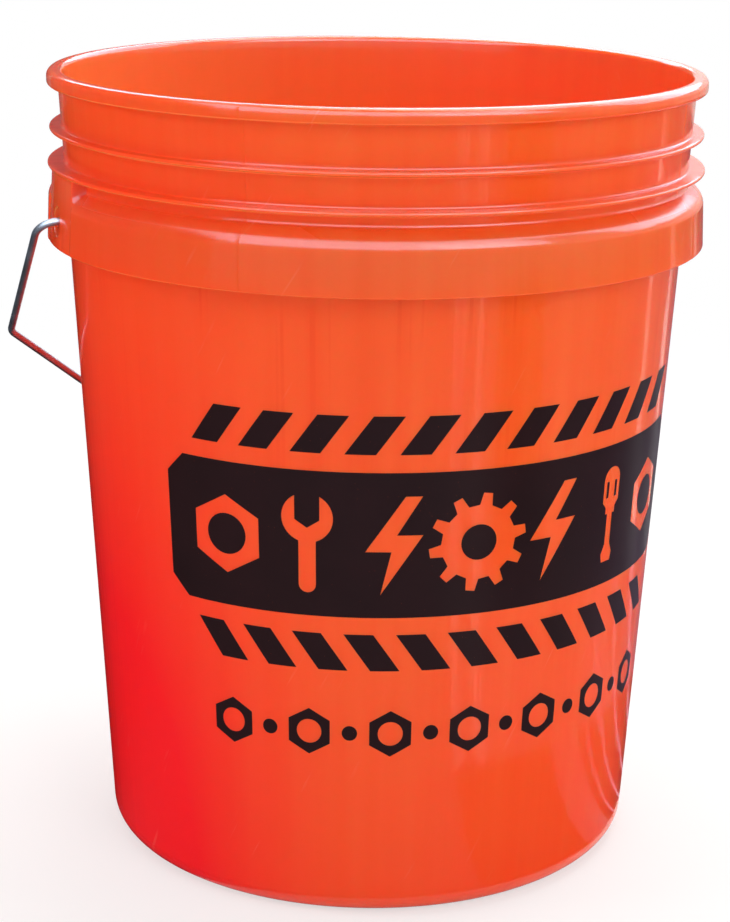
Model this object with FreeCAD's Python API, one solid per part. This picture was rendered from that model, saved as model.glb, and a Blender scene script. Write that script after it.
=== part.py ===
import FreeCAD, Part

import math
import os

from FreeCAD import Vector

# A five-gallon open-head utility pail with a wire bail and a hand grip.
# Millimetres. +Z is up, the origin is the centre of the base on the ground.
# The bail ears sit on +X and -X, and the bail hangs at rest against the +Y side.
# A "drop" is measured down from the top of the rim, and a "stand" is measured out from the wall.

# Pail: one injection moulding
pail_height = 366.0
rim_radius = 151.0            # over the bead
base_radius = 125.4           # the tapered wall, run down to the ground
wall = 2.3
floor_thickness = 2.6
floor_recess = 4.0            # how far the floor stands above the ground
floor_corner_radius = 8.0     # inside corner between wall and floor
foot_corner_radius = 11.0     # outside corner between wall and foot
foot_ring_width = 5.0         # flat ring that the pail stands on
foot_ring_slope = 4.0         # width of the slope from the ring up to the floor
gate_radius = 7.0             # disc under the middle of the floor, where the plastic came in
gate_height = 1.2

# Rim bead, with the snap groove for a lid under its lip
rim_stand = 4.35
rim_height = 6.6
rim_top_round = 3.2
rim_inner_round = 2.2
rim_lip_round = 1.1
rim_groove_width = 1.7
rim_groove_depth = 2.6

# Neck between the shoulder and the rim, moulded a little inside the line of the wall
neck_step = 0.35

# Stacking rings: (drop, stand)
upper_ring = (26.3, 5.05)
lower_ring = (42.4, 7.1)
ring_edge = 1.5               # thickness at the edge
ring_root = 2.9               # thickness at the neck
ring_edge_easing = 0.8

# Shoulder and skirt band
shoulder_root_drop = 48.8
shoulder_fall = 5.6           # from its root down to the corner, before easing
skirt_bottom_drop = 76.7
skirt_top_stand = 7.7
skirt_bottom_stand = 9.9
skirt_corner_radius = 3.4
skirt_wall = 2.1
gusset_count = 24
gusset_first = 3.5            # degrees from the ear round to the first gusset
gusset_thickness = 1.6
gusset_rise = 1.5             # the gussets end this far above the skirt's bottom edge

# Bail ears
ear_axis_drop = 64.5
ear_half_width = 22.0
ear_top_stand = 5.45          # outer face, under the lower ring
ear_bottom_stand = 9.6        # outer face, at the bottom of the skirt
ear_wall = 2.3
ear_edge_round = 2.0
ear_dish_radius = 6.5         # shallow round dish about the hole
ear_dish_depth = 0.7
ear_pocket_drop = 49.0        # top of the pocket behind the face

# Bail: one bent wire
wire_diameter = 3.4
wire_clearance = 0.35         # between the wire and each hole that it turns in
hook_bend_radius = 3.0
hook_length = 7.0             # from the ear axis to the end of the hook
stub_bend_radius = 9.5
leg_stand = 8.4               # from the ear's face to the leg, level with the ear axis
leg_flare = 2.6               # how much further out the leg is at the corner
bail_corner_reach = 85.3      # from the ear axis to the corner, along the bail
bail_corner_bend_radius = 7.5
bail_past_rim = 61.0          # how much further the bail reaches than the rim's radius
bail_middle_bend_radius = 12.0

# Hand grip: one moulded tube with a hub on webs
grip_diameter = 23.0
grip_half_length = 46.0
grip_wall = 2.0
grip_edge_chamfer = 1.2
grip_hub_wall = 1.8
grip_web = 1.8
grip_web_count = 4
grip_web_setback = 3.0        # the hub and webs end this far inside the tube's ends
grip_end_room = 8.4           # from the grip's end to the wire's next corner
rest_clearance = 0.3          # between the grip and the pail that it hangs against

# Worked out from the sizes above
wire_radius = wire_diameter / 2
wire_hole_radius = wire_radius + wire_clearance
grip_radius = grip_diameter / 2
wall_top_radius = rim_radius - rim_stand
wall_slope = (wall_top_radius - base_radius) / pail_height
skirt_bottom_height = pail_height - skirt_bottom_drop
skirt_corner_height = pail_height - shoulder_root_drop - shoulder_fall
skirt_cavity_height = skirt_corner_height - skirt_wall
shoulder_root_height = pail_height - shoulder_root_drop
lower_ring_height = pail_height - lower_ring[0]
ear_axis_height = pail_height - ear_axis_drop
ear_pocket_height = pail_height - ear_pocket_drop
bail_reach = rim_radius + bail_past_rim


def wall_radius(height):
    """Outer radius of the tapered wall."""
    return base_radius + wall_slope * height


def neck_radius(height):
    """Outer radius of the neck, from the shoulder's root up to the rim."""
    return wall_radius(height) - neck_step


def skirt_radius(height):
    """Outer radius of the skirt, which flares a little towards its bottom edge."""
    share = (height - skirt_bottom_height) / (skirt_corner_height - skirt_bottom_height)
    return wall_radius(height) + skirt_bottom_stand + (skirt_top_stand - skirt_bottom_stand) * share


def ear_radius(height):
    """Outer radius of the ears' faces, which flare like the skirt."""
    share = (height - skirt_bottom_height) / (lower_ring_height - skirt_bottom_height)
    return wall_radius(height) + ear_bottom_stand + (ear_top_stand - ear_bottom_stand) * share


def section_point(radius, height):
    return Vector(radius, 0, height)


def eased_points(corners):
    """Points through (radius, height, easing radius, flats) corners, each eased by flats on a tangent arc."""
    count = len(corners)
    points = []
    for i, (radius, height, easing, flats) in enumerate(corners):
        point = section_point(radius, height)
        if flats == 0:
            points.append(point)
            continue
        before = (section_point(*corners[i - 1][:2]) - point).normalize()
        after = (section_point(*corners[(i + 1) % count][:2]) - point).normalize()
        half_angle = before.getAngle(after) / 2
        centre = point + (before + after).normalize() * (easing / math.sin(half_angle))
        spoke = point + before * (easing / math.tan(half_angle)) - centre
        turn = math.copysign(180 - math.degrees(2 * half_angle), after.cross(before).y)
        for k in range(flats + 1):
            step = FreeCAD.Rotation(Vector(0, 1, 0), turn * k / flats)
            points.append(centre + step.multVec(spoke))
    return points


def revolved(corners):
    """A solid turned about the Z axis from (radius, height, easing radius, flats) corners."""
    points = eased_points(corners)
    return Part.Face(Part.makePolygon(points + points[:1])).revolve(Vector(0, 0, 0), Vector(0, 0, 1), 360)


def ring_corners(ring):
    """The edge and two roots of one stacking ring, from below to above."""
    drop, stand = ring
    edge_height = pail_height - drop
    edge_radius = wall_radius(edge_height) + stand
    under = edge_height - ring_root / 2 - ring_edge / 4
    over = edge_height + ring_root / 2 - ring_edge / 4
    return [
        (neck_radius(under), under, 0, 0),
        (edge_radius, edge_height - ring_edge / 2, ring_edge_easing, 1),
        (edge_radius, edge_height + ring_edge / 2, 0, 0),
        (neck_radius(over), over, 0, 0),
    ]


def foot_corners():
    """The recessed floor with its gate disc, the flat ring and the outside corner."""
    ring_inner = base_radius - foot_corner_radius - foot_ring_width
    return [
        (0, floor_recess - gate_height, 0, 0),
        (gate_radius, floor_recess - gate_height, 0, 0),
        (gate_radius + gate_height, floor_recess, 0, 0),
        (ring_inner - foot_ring_slope, floor_recess, 0, 0),
        (ring_inner, 0, 0, 0),
        (base_radius, 0, foot_corner_radius, 3),
    ]


def skirt_corners():
    """The cavity behind the skirt, the skirt and the shoulder above it."""
    return [
        (wall_radius(skirt_bottom_height), skirt_bottom_height, 0, 0),
        (wall_radius(skirt_cavity_height), skirt_cavity_height, 0, 0),
        (skirt_radius(skirt_cavity_height) - skirt_wall, skirt_cavity_height, 0, 0),
        (skirt_radius(skirt_bottom_height) - skirt_wall, skirt_bottom_height, 0, 0),
        (skirt_radius(skirt_bottom_height), skirt_bottom_height, 0, 0),
        (skirt_radius(skirt_corner_height), skirt_corner_height, skirt_corner_radius, 2),
        (neck_radius(shoulder_root_height), shoulder_root_height, 0, 0),
    ]


def rim_corners():
    """The groove under the lip and the rounded bead."""
    rim_bottom = pail_height - rim_height
    groove_top = rim_bottom + rim_groove_depth
    groove_outer = neck_radius(groove_top) + rim_groove_width
    return [
        (neck_radius(groove_top), groove_top, 0, 0),
        (groove_outer, groove_top, 0, 0),
        (groove_outer, rim_bottom, 0, 0),
        (rim_radius, rim_bottom, rim_lip_round, 1),
        (rim_radius, pail_height, rim_top_round, 3),
        (neck_radius(pail_height) - wall, pail_height, rim_inner_round, 2),
    ]


def inside_corners():
    """The inner wall and the floor."""
    floor_top = floor_recess + floor_thickness
    return [
        (wall_radius(skirt_bottom_height) - wall, skirt_bottom_height, 0, 0),
        (wall_radius(floor_top) - wall, floor_top, floor_corner_radius, 2),
        (0, floor_top, 0, 0),
    ]


def pail_shell():
    """The pail without its ears and gussets, turned from one section."""
    rings = ring_corners(lower_ring) + ring_corners(upper_ring)
    return revolved(foot_corners() + skirt_corners() + rings + rim_corners() + inside_corners())


def ear_side_box(half_width, bottom, top):
    """A block along X through both ears, between two heights."""
    reach = skirt_radius(skirt_bottom_height) + 10
    return Part.makeBox(2 * reach, 2 * half_width, top - bottom, Vector(-reach, -half_width, bottom))


def skirt_gussets():
    """Radial plates between wall and skirt, spaced evenly and left out at the ears."""
    bottom = skirt_bottom_height + gusset_rise
    top = skirt_cavity_height + skirt_wall / 3
    sunk = wall / 3
    corners = [
        section_point(wall_radius(bottom) - sunk, bottom),
        section_point(skirt_radius(bottom) - skirt_wall + sunk, bottom),
        section_point(skirt_radius(top) - skirt_wall + sunk, top),
        section_point(wall_radius(top) - sunk, top),
    ]
    face = Part.Face(Part.makePolygon(corners + corners[:1]))
    blank = face.extrude(Vector(0, gusset_thickness, 0)).translated(Vector(0, -gusset_thickness / 2, 0))
    plates = []
    for i in range(gusset_count):
        angle = gusset_first + 360 * i / gusset_count
        sideways = abs(math.sin(math.radians(angle))) * wall_radius(bottom)
        if sideways < ear_half_width + gusset_thickness:
            continue
        gusset = blank.copy()
        gusset.rotate(Vector(0, 0, 0), Vector(0, 0, 1), angle)
        plates.append(gusset)
    return plates


def ear_ring(inner_offset, outer_offset, bottom, top):
    """A turned ring from the wall to the ears' outer faces, with each side offset."""
    return revolved([
        (wall_radius(bottom) + inner_offset, bottom, 0, 0),
        (ear_radius(bottom) + outer_offset, bottom, 0, 0),
        (ear_radius(top) + outer_offset, top, 0, 0),
        (wall_radius(top) + inner_offset, top, 0, 0),
    ])


def is_face_edge(edge):
    """True for the four upright edges at the sides of the ears' outer faces."""
    box = edge.BoundBox
    upright = box.YLength < 0.01 and box.ZLength > ear_half_width / 2
    middle = (box.ZMin + box.ZMax) / 2
    outer = math.hypot(max(abs(box.XMin), abs(box.XMax)), ear_half_width) > ear_radius(middle) - ear_wall / 2
    return upright and outer


def ears():
    """The two hollow ears, each open underneath, with a dished hole for the wire."""
    bottom = skirt_bottom_height
    top = lower_ring_height - ring_edge / 2
    block = ear_ring(-wall / 2, 0, bottom, top).common(ear_side_box(ear_half_width, bottom, top))
    block = block.makeFillet(ear_edge_round, [edge for edge in block.Edges if is_face_edge(edge)])
    pocket = ear_ring(0, -ear_wall, bottom - 1, ear_pocket_height)
    pocket = pocket.common(ear_side_box(ear_half_width - ear_wall, bottom - 1, ear_pocket_height))
    block = block.cut(pocket)
    past_face = 2 * ear_wall
    for side in (1, -1):
        outward = Vector(side, 0, 0)
        face = Vector(side * ear_radius(ear_axis_height), 0, ear_axis_height)
        dish_length = ear_dish_depth + past_face
        dish = Part.makeCylinder(ear_dish_radius, dish_length, face - outward * ear_dish_depth, outward)
        hole = Part.makeCylinder(wire_hole_radius, 2 * past_face, face - outward * past_face, outward)
        block = block.cut(dish.fuse(hole))
    return block


def pail():
    """The shell with its gussets, opened at the sides to take the ears."""
    shell = pail_shell()
    for gusset in skirt_gussets():
        shell = shell.fuse(gusset)
    bottom = skirt_bottom_height - skirt_wall
    window = ear_ring(0, skirt_bottom_stand, bottom, shoulder_root_height)
    window = window.common(ear_side_box(ear_half_width - ear_wall / 2, bottom, shoulder_root_height))
    return shell.cut(window).fuse(ears())


def bail_rest_angle():
    """Angle from straight down to where the bail hangs with its grip against the wall."""
    taper = math.atan(wall_slope)
    out = wall_radius(ear_axis_height) * math.cos(taper) + grip_radius + rest_clearance
    return math.asin(out / bail_reach) - taper


def bail_point(offset, reach):
    """A point of the hanging bail, from its offset along X and its reach from the ear axis."""
    angle = bail_rest_angle()
    return Vector(offset, reach * math.sin(angle), ear_axis_height - reach * math.cos(angle))


def bail_corners():
    """(offset, reach, bend radius) at the corners of half the bail, from its hooked end to the middle."""
    ear_face = ear_radius(ear_axis_height)
    pocket_middle = (wall_radius(ear_axis_height) + ear_face - ear_wall) / 2
    leg_offset = ear_face + leg_stand
    return [
        (pocket_middle, -hook_length, 0),
        (pocket_middle, 0, hook_bend_radius),
        (leg_offset, 0, stub_bend_radius),
        (leg_offset + leg_flare, bail_corner_reach, bail_corner_bend_radius),
        (grip_half_length + grip_end_room, bail_reach, bail_middle_bend_radius),
    ]


def bent_path(corners):
    """An open wire of straight runs joined by tangent arcs, from (point, bend radius) corners."""
    runs = []
    start = corners[0][0]
    for i in range(1, len(corners) - 1):
        point, radius = corners[i]
        before = (corners[i - 1][0] - point).normalize()
        after = (corners[i + 1][0] - point).normalize()
        half_angle = before.getAngle(after) / 2
        arc_start = point + before * (radius / math.tan(half_angle))
        arc_end = point + after * (radius / math.tan(half_angle))
        crown = point + (before + after).normalize() * (radius / math.sin(half_angle) - radius)
        runs.append(Part.LineSegment(start, arc_start).toShape())
        runs.append(Part.Arc(arc_start, crown, arc_end).toShape())
        start = arc_end
    runs.append(Part.LineSegment(start, corners[-1][0]).toShape())
    return Part.Wire(runs)


def bail():
    """The wire, swept along straight runs and bends from one hooked end to the other."""
    half = bail_corners()
    mirrored = [(-offset, reach, bend) for offset, reach, bend in reversed(half)]
    corners = [(bail_point(offset, reach), bend) for offset, reach, bend in half + mirrored]
    start = corners[0][0]
    section = Part.Wire([Part.makeCircle(wire_radius, start, corners[1][0] - start)])
    return bent_path(corners).makePipeShell([section], True, False)


def hand_grip():
    """A tube with a hub on radial webs, cored out from both ends."""
    centre = bail_point(0, bail_reach)
    along = Vector(1, 0, 0)

    def bar(radius, half_length):
        return Part.makeCylinder(radius, 2 * half_length, centre - along * half_length, along)

    tube = bar(grip_radius, grip_half_length)
    rims = [edge for edge in tube.Edges if isinstance(edge.Curve, Part.Circle)]
    tube = tube.makeChamfer(grip_edge_chamfer, rims).cut(bar(grip_radius - grip_wall, grip_half_length + 1))
    hub_half = grip_half_length - grip_web_setback
    hub = bar(wire_hole_radius + grip_hub_wall, hub_half)
    for i in range(grip_web_count):
        web_corner = centre - Vector(hub_half, grip_web / 2, 0)
        web = Part.makeBox(2 * hub_half, grip_web, grip_radius - grip_wall / 2, web_corner)
        web.rotate(centre, along, 360 * i / grip_web_count)
        hub = hub.fuse(web)
    return tube.fuse(hub).cut(bar(wire_hole_radius, grip_half_length + 1)).removeSplitter()


os.makedirs("parts", exist_ok=True)
for name, shape in (("pail", pail()), ("bail", bail()), ("hand_grip", hand_grip())):
    shape.exportStep("parts/" + name + ".step")
    volume = round(shape.Volume / 1000, 2)
    print(name, "solids", len(shape.Solids), "valid", shape.isValid(), "volume", volume, "cm3")
grip_centre = bail_point(0, bail_reach)
print("grip centre", round(grip_centre.y, 3), round(grip_centre.z, 3))
print("bail swing", round(360 - 2 * math.degrees(bail_rest_angle()), 3), "degrees")
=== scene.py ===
# %% [markdown]
# # A five-gallon pail with a wire bail
# The object is a plain open-head utility pail: one injection-moulded shell of glossy orange
# polyethylene, one bent steel wire that swings in two moulded ears, and one black plastic
# grip that turns on the wire. This lesson builds each of the three as a mesh made in code,
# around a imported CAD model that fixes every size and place. Then it prints a plain ink
# pattern on the front and lights everything softly.

# %% Load the frame
import math

import bmesh
import bpy
from mathutils import Matrix, Vector


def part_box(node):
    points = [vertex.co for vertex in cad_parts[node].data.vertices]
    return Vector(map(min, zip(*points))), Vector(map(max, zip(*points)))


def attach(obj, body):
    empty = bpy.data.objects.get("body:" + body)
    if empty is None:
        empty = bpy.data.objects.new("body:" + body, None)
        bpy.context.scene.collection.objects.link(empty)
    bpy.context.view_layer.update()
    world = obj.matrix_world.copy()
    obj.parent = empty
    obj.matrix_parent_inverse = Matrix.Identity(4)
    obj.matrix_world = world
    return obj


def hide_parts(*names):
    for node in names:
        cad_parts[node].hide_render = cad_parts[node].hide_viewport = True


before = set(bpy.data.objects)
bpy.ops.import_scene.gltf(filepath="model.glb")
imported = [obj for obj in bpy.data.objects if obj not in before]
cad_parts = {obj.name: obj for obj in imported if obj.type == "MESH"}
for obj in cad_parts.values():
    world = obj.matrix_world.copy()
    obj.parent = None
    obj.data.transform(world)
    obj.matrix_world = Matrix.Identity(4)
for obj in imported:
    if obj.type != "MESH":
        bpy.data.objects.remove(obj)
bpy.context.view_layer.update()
MM = 0.001

# %% [markdown]
# ## Sizes
# A turned shape is easiest to draw as a half section, which is pairs of radius and height.
# The CAD nodes hold the true sizes, so the height and the places of the bail and the grip are
# measured from them. What a node's box can't give, such as the thickness of a ring's edge,
# is written here in millimetres, as on a mould maker's drawing. Heights near the mouth are
# drops from the rim, because that end of the pail is what a lid and a bail have to fit.

# %% Sizes of the pail, in millimetres
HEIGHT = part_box("pail")[1].z / MM
RIM_RADIUS = 151.0
BASE_RADIUS = 125.4
RIM_STAND = 4.35  # the bead stands this far out from the line of the wall
WALL = 2.3
SLOPE = (RIM_RADIUS - RIM_STAND - BASE_RADIUS) / HEIGHT

FLOOR_RECESS = 4.0
FLOOR_TOP = 6.6
FOOT_EASING = 11.0
FOOT_RING_INNER = 109.4
FOOT_RING_SLOPE = 4.0  # how far its inner side runs in as it rises to the recess
GATE_RADIUS = 7.0
GATE_HEIGHT = 1.2

SKIRT_BOTTOM = HEIGHT - 76.7
SKIRT_CORNER = HEIGHT - 54.4
SHOULDER_ROOT = HEIGHT - 48.8
SKIRT_WALL = 2.1
SKIRT_STAND = 9.9  # how far its bottom edge stands out from the wall
SKIRT_FLARE = 2.2  # how much less that is at its top corner
NECK_STEP = 0.35
LOWER_RING = (HEIGHT - 42.4, 7.1)  # height, and how far it stands out from the wall
UPPER_RING = (HEIGHT - 26.3, 5.05)
RING_EDGE = 1.5
RING_ROOT = 2.9
UPPER_RING_ROOT = UPPER_RING[0] - 1.8
RIM_BOTTOM = HEIGHT - 6.6
GROOVE_DEPTH = 2.6  # of the groove that runs up into the bead from below
GROOVE_WIDTH = 1.7

EAR_AXIS = HEIGHT - 64.5
EAR_HALF_WIDTH = 22.0
EAR_WALL = 2.3
EAR_STAND = 9.6  # how far an ear's face stands out from the wall at its bottom
EAR_LEAN = 4.15  # how much less that is at the lower ring
EAR_POCKET_TOP = HEIGHT - 49.0
WIRE_RADIUS = 1.7
WIRE_CLEARANCE = 0.35


def wall_radius(height):
    """Outer radius of the tapered wall."""
    return BASE_RADIUS + SLOPE * height


def neck_radius(height):
    """Outer radius between the shoulder and the rim."""
    return wall_radius(height) - NECK_STEP


def skirt_radius(height):
    """Outer radius of the skirt, which flares towards its bottom edge."""
    share = (height - SKIRT_BOTTOM) / (SKIRT_CORNER - SKIRT_BOTTOM)
    return wall_radius(height) + SKIRT_STAND - SKIRT_FLARE * share


def ear_radius(height):
    """Outer radius of the ears' faces."""
    share = (height - SKIRT_BOTTOM) / (LOWER_RING[0] - SKIRT_BOTTOM)
    return wall_radius(height) + EAR_STAND - EAR_LEAN * share


wall_slope = round(math.degrees(math.atan(SLOPE)), 2)
print("pail", round(HEIGHT, 1), "mm tall, wall slopes", wall_slope, "degrees")

# %% [markdown]
# ## The pail's half section
# The pail could be a stack of primitives, or a simple tube with loop cuts. But every edge of a
# moulding is rounded, and the rounds are what catch the light, so the section is drawn
# corner by corner and each corner is eased by a short curve. Two sections are needed, one away
# from the ears and one through an ear. Both list the same corners in the same order, so any
# row of points in one has its partner in the other and the pail can blend between them.

# %% The corners, from the middle of the underside round to the middle of the floor
COMMON, CAVITY, FACE = range(3)  # which blend a corner follows near an ear


def corner(radius, height, easing=0.0, steps=0, rows=0, zone=COMMON):
    """A corner: its place, how far off its curve starts, the curve's steps, and rows to the next corner."""
    return {"at": Vector((radius, height)), "easing": easing, "steps": steps, "rows": rows, "zone": zone}


def ring_corners(ring, root_radius, root_height, zone):
    """A stacking ring, from its lower root round its edge to its upper root."""
    height, stand = ring
    edge = wall_radius(height) + stand
    over = height + RING_ROOT / 2 - RING_EDGE / 4
    return [
        corner(root_radius, root_height, 0.9, 4, 2, zone),
        corner(edge, height - RING_EDGE / 2, 0.65, 4),
        corner(edge, height + RING_EDGE / 2, 0.65, 4, 2),
        corner(neck_radius(over), over, 0.9, 4, 4),
    ]


def half_section(through_ear):
    """The closed outline of the pail, from under the middle of the floor out, up and back inside."""
    face = ear_radius if through_ear else skirt_radius
    cavity_top = EAR_POCKET_TOP if through_ear else SKIRT_CORNER - SKIRT_WALL
    face_wall = EAR_WALL if through_ear else SKIRT_WALL
    foot_ring_outer = BASE_RADIUS - FOOT_EASING
    below = [
        corner(0, FLOOR_RECESS - GATE_HEIGHT),
        corner(GATE_RADIUS, FLOOR_RECESS - GATE_HEIGHT, 0.4, 2),
        corner(GATE_RADIUS + GATE_HEIGHT, FLOOR_RECESS, 0.4, 2, 6),
        corner(FOOT_RING_INNER - FOOT_RING_SLOPE, FLOOR_RECESS, 1.2, 3),
        corner(FOOT_RING_INNER, 0, 1.2, 3),
        corner((FOOT_RING_INNER + foot_ring_outer) / 2, 0),
        corner(BASE_RADIUS, 0, FOOT_EASING, 12, 14),
    ]
    behind_skirt = [
        corner(wall_radius(cavity_top), cavity_top, 1.0, 3, 1, CAVITY),
        corner(face(cavity_top) - face_wall, cavity_top, 1.0, 3, 3, CAVITY),
        corner(face(SKIRT_BOTTOM) - face_wall, SKIRT_BOTTOM, 0.5, 3, 0, CAVITY),
    ]
    under = LOWER_RING[0] - RING_ROOT / 2 - RING_EDGE / 4
    root = neck_radius(under)
    if through_ear:
        edge = wall_radius(LOWER_RING[0]) + LOWER_RING[1]
        rise = LOWER_RING[0] - RING_EDGE / 2 - under
        root = ear_radius(under)
        under += rise * (root - neck_radius(under)) / (edge - neck_radius(under))
    shoulder_radius = ear_radius(SHOULDER_ROOT) if through_ear else neck_radius(SHOULDER_ROOT)
    outside = [
        corner(face(SKIRT_BOTTOM), SKIRT_BOTTOM, 0.7, 4, 12, FACE),
        corner(face(SKIRT_CORNER), SKIRT_CORNER, 2.9, 8, 3, FACE),
        corner(shoulder_radius, SHOULDER_ROOT, 1.3, 5, 3, FACE),
        *ring_corners(LOWER_RING, root, under, FACE),
        *ring_corners(UPPER_RING, neck_radius(UPPER_RING_ROOT), UPPER_RING_ROOT, COMMON),
    ]
    groove_top = RIM_BOTTOM + GROOVE_DEPTH
    groove_outer = neck_radius(groove_top) + GROOVE_WIDTH
    rim = [
        corner(neck_radius(groove_top), groove_top, 0.5, 2),
        corner(groove_outer, groove_top, 0.5, 2),
        corner(groove_outer, RIM_BOTTOM, 0.5, 2),
        corner(RIM_RADIUS, RIM_BOTTOM, 1.2, 5, 1),
        corner(RIM_RADIUS, HEIGHT, 3.3, 10, 1),
        corner(neck_radius(HEIGHT) - WALL, HEIGHT, 2.4, 8, 6),
    ]
    inside = [
        corner(wall_radius(SKIRT_BOTTOM) - WALL, SKIRT_BOTTOM, 3.0, 2, 14),
        corner(wall_radius(FLOOR_TOP) - WALL, FLOOR_TOP, 8.0, 8, 8),
        corner(0, FLOOR_TOP),
    ]
    return below + behind_skirt + outside + rim + inside


print("corners in each half section:", len(half_section(through_ear=False)))

# %% Ease the corners
QUARTER_ROUND = 0.5523  # the pull that makes a cubic curve follow a round


def section_points(corners):
    """(point, zone) for each row: curves at the corners, and rows that crowd towards each run's ends."""
    curves = []
    for i, this in enumerate(corners):
        at, easing, steps = this["at"], this["easing"], this["steps"]
        if steps == 0:
            curves.append([at])
            continue
        start = at + (corners[i - 1]["at"] - at).normalized() * easing
        end = at + (corners[(i + 1) % len(corners)]["at"] - at).normalized() * easing
        handles = (start, start.lerp(at, QUARTER_ROUND), end.lerp(at, QUARTER_ROUND), end)
        curve = []
        for k in range(steps + 1):
            t = k / steps
            weights = ((1 - t) ** 3, 3 * t * (1 - t) ** 2, 3 * t * t * (1 - t), t**3)
            curve.append(sum((p * w for p, w in zip(handles, weights)), Vector((0, 0))))
        curves.append(curve)
    points = []
    for i, (this, curve) in enumerate(zip(corners, curves)):
        points += [(p, this["zone"]) for p in curve]
        onward = (i + 1) % len(corners)
        run_end, zone = curves[onward][0], max(this["zone"], corners[onward]["zone"])
        for k in range(1, this["rows"] + 1):
            share = (1 - math.cos(math.pi * k / (this["rows"] + 1))) / 2
            points.append((curve[-1].lerp(run_end, share), zone))
    return points


plain_section = section_points(half_section(through_ear=False))
ear_section = section_points(half_section(through_ear=True))
assert len(plain_section) == len(ear_section)
print("rows of points in each half section:", len(plain_section))

# %% [markdown]
# ## The pail's mesh
# On the real pail the ears are part of the moulding: the skirt's face runs straight on up to
# the lower stacking ring, and its sides have a little draft so that the mould can open. A
# boolean union of a block with the turned shell would leave hard creases and long thin faces.
# So the columns of the grid crowd together at the ears' sides, and each column blends smoothly
# from one half section to the other. The same trick adds the marks that moulding leaves: a
# thin line where the four sliding blocks of the mould meet, and a faint sink over each gusset.

# %% Columns of the grid
GUSSETS = 24
GUSSET_FIRST = 3.5  # degrees round from the ear on +X
SPLIT_LINES = [48.5 + 90 * k for k in range(4)]  # degrees from +X, where the mould's blocks meet
EVEN_COLUMNS = 264  # all the way round, before those that the shape asks for
EAR_COLUMNS = [-3.6 + 0.3 * k for k in range(17)]  # millimetres from an ear's half width
SPLIT_COLUMNS = (-0.3, -0.1, 0, 0.1, 0.3)  # degrees from a split line
GUSSET_COLUMNS = (-0.9, -0.45, 0, 0.45, 0.9)  # degrees from the middle of a gusset
APART = (0.2, 0.2, 0.05, 0.05)  # least degrees between columns, from the least wanted to the most


def wrapped(angle):
    """An angle in degrees, brought between -180 and 180."""
    return (angle + 180) % 360 - 180


def column_angles():
    """Angles of the grid's columns, close together where the shape changes along the circle."""
    wanted = [(360 * k / EVEN_COLUMNS, 0) for k in range(EVEN_COLUMNS)]  # angle, how much wanted
    for middle in (0, 180):
        for side in (-1, 1):
            for offset in EAR_COLUMNS:
                turn = math.degrees(math.asin((EAR_HALF_WIDTH + offset) / RIM_RADIUS))
                wanted.append((middle + side * turn, 2))
    for line in SPLIT_LINES:
        wanted += [(line + offset, 3) for offset in SPLIT_COLUMNS]
    for k in range(GUSSETS):
        middle = GUSSET_FIRST + 360 * k / GUSSETS
        wanted += [(middle + offset, 1) for offset in GUSSET_COLUMNS]
    kept = []
    for angle, rank in sorted(wanted, key=lambda item: -item[1]):
        angle %= 360
        if all(abs(wrapped(angle - other)) > APART[rank] for other in kept):
            kept.append(angle)
    return sorted(kept)


def smooth_step(low, high, value):
    """0 below low, 1 above high, and an easy curve between."""
    t = min(max((value - low) / (high - low), 0.0), 1.0)
    return t * t * (3 - 2 * t)


angles = column_angles()
print("columns in the pail's grid:", len(angles))

# %% Marks and blends on the grid
SPLIT_HEIGHT = 0.2
SPLIT_WIDTH = 0.12  # degrees
SINK_DEPTH = 0.1
SINK_WIDTH = 0.6  # degrees
ON_FACE = 0.5  # a point this near an outer surface counts as on it
FACE_BLEND = (-1.4, 0.6)  # where an ear's side starts and ends, from its half width
CAVITY_BLEND = (-3.1, -1.6)  # the same for the pocket behind it


def ear_share(angle, zone):
    """How much of the ear's half section a column takes, from 0 to 1, for one zone of it."""
    from_ear = min(abs(wrapped(angle)), abs(wrapped(angle - 180)))
    sideways = RIM_RADIUS * math.sin(math.radians(min(from_ear, 90)))
    start, end = FACE_BLEND if zone == FACE else CAVITY_BLEND
    return 1 - smooth_step(EAR_HALF_WIDTH + start, EAR_HALF_WIDTH + end, sideways)


def moulding_marks(angle, point):
    """How far the split lines and the gussets' sinks move the outer surface, in millimetres."""
    radius, height = point
    if height < SKIRT_BOTTOM or radius < neck_radius(height) - ON_FACE:
        return 0.0
    from_split = min(abs(wrapped(angle - line)) for line in SPLIT_LINES)
    mark = SPLIT_HEIGHT * math.exp(-((from_split / SPLIT_WIDTH) ** 2))
    if height < SKIRT_CORNER and radius > skirt_radius(height) - ON_FACE:
        spacing = 360 / GUSSETS
        from_gusset = abs((angle - GUSSET_FIRST + spacing / 2) % spacing - spacing / 2)
        mark -= SINK_DEPTH * math.exp(-((from_gusset / SINK_WIDTH) ** 2))
    return mark


split_mark = moulding_marks(SPLIT_LINES[0], (skirt_radius(SKIRT_BOTTOM), SKIRT_BOTTOM))
print("a split line stands", round(split_mark, 2), "mm proud of the skirt")

# %% The grid itself


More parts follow.
